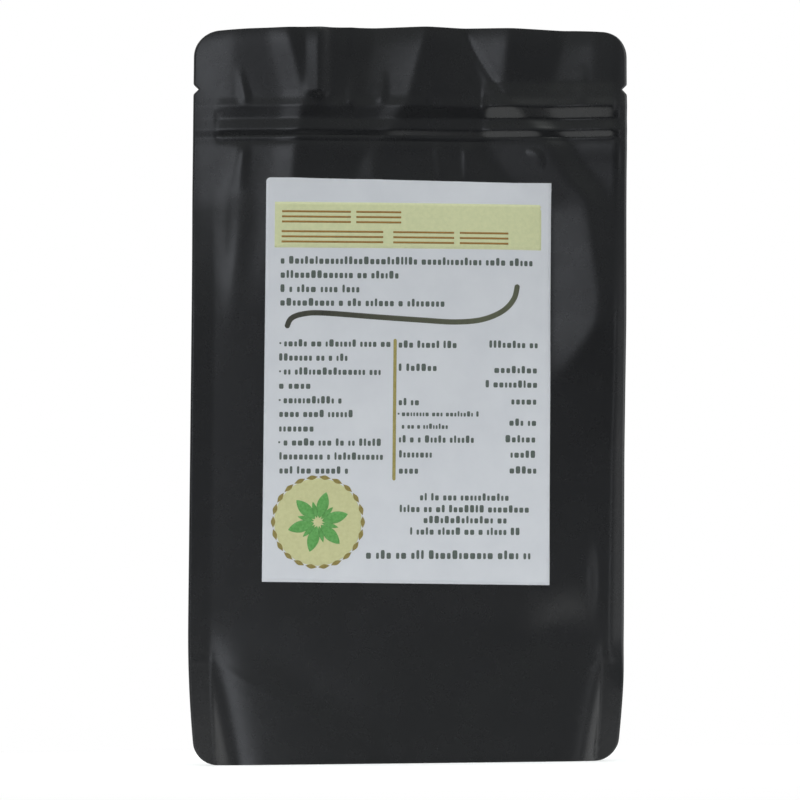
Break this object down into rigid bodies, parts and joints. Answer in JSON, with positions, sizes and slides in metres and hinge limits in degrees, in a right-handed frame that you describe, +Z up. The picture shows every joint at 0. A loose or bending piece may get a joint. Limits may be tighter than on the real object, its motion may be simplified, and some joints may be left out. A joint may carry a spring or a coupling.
{
  "type": "stand-up pouch",
  "caption": "Shut stand-up zip pouch of matt black film with side seals, tear notches, raised zip, creased header and opened bottom gusset, with a white paper label on its front.",
  "frame": {"origin": "on the floor under the middle of the standing pouch's bounding box", "axes": "+Z up along the pouch's height; -Y towards the viewer, the side with the label; +X to the viewer's right"},
  "size_m": [0.1635, 0.0194, 0.27],
  "materials": {
    "film": "matt black laminated film with a soft sheen",
    "label_paper": "smooth white label paper, printed with a pale band, bars for lines of type and a round seal"
  },
  "bodies": {
    "root": {"pouch": "film", "label": "label_paper"}
  },
  "joints": []
}
